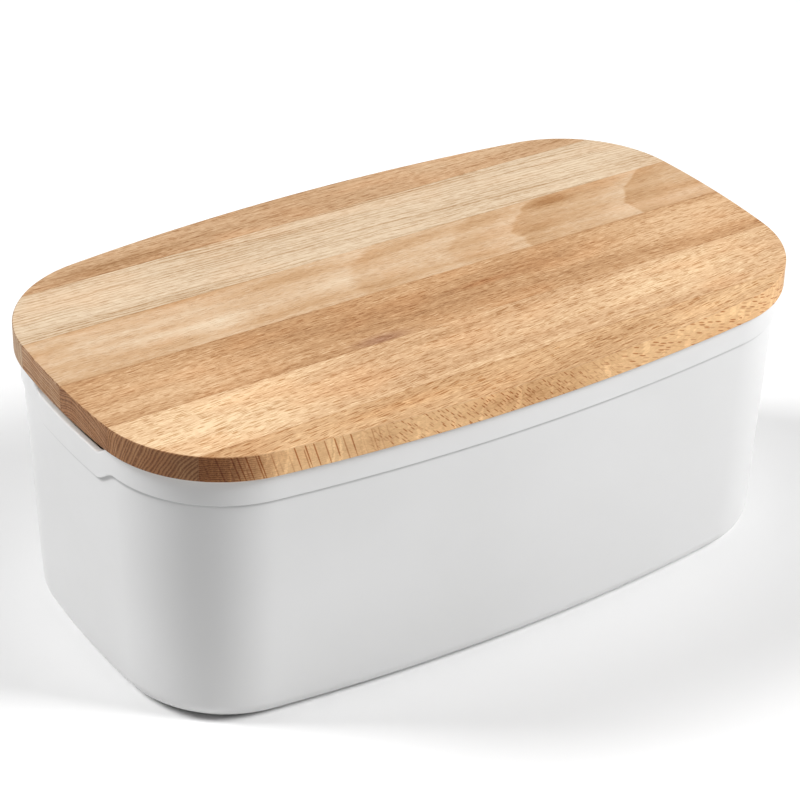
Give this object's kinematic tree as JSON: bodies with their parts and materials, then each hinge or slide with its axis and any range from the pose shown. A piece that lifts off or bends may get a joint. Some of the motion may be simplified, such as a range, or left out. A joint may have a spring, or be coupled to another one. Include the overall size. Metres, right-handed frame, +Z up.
{
  "type": "bread bin",
  "caption": "Low melamine bread bin with rounded corners, a stepped rim with finger notches at both ends, and a loose beech lid that doubles as a cutting board.",
  "frame": {"origin": "middle of the footprint, on the surface the box stands on", "axes": "+X along the length, -Y the front, +Z up"},
  "size_m": [0.345, 0.197, 0.138],
  "materials": {
    "melamine": "satin white melamine",
    "beech_1": "oiled beech, fine pores and flecks",
    "beech_2": "oiled beech, fine pores and flecks",
    "beech_3": "oiled beech, fine pores and flecks",
    "beech_4": "oiled beech, fine pores and flecks",
    "beech_5": "oiled beech, fine pores and flecks",
    "beech_6": "oiled beech, fine pores and flecks"
  },
  "bodies": {
    "box": {"box": "melamine"},
    "lid": {"lid_stave_1": "beech_1", "lid_stave_2": "beech_2", "lid_stave_3": "beech_3", "lid_stave_4": "beech_4", "lid_stave_5": "beech_5", "lid_stave_6": "beech_6"}
  },
  "joints": [
    {"name": "lid_lift", "type": "slide", "parent": "box", "child": "lid", "axis": [0, 0, 1], "range_m": [0, 0.15]}
  ]
}
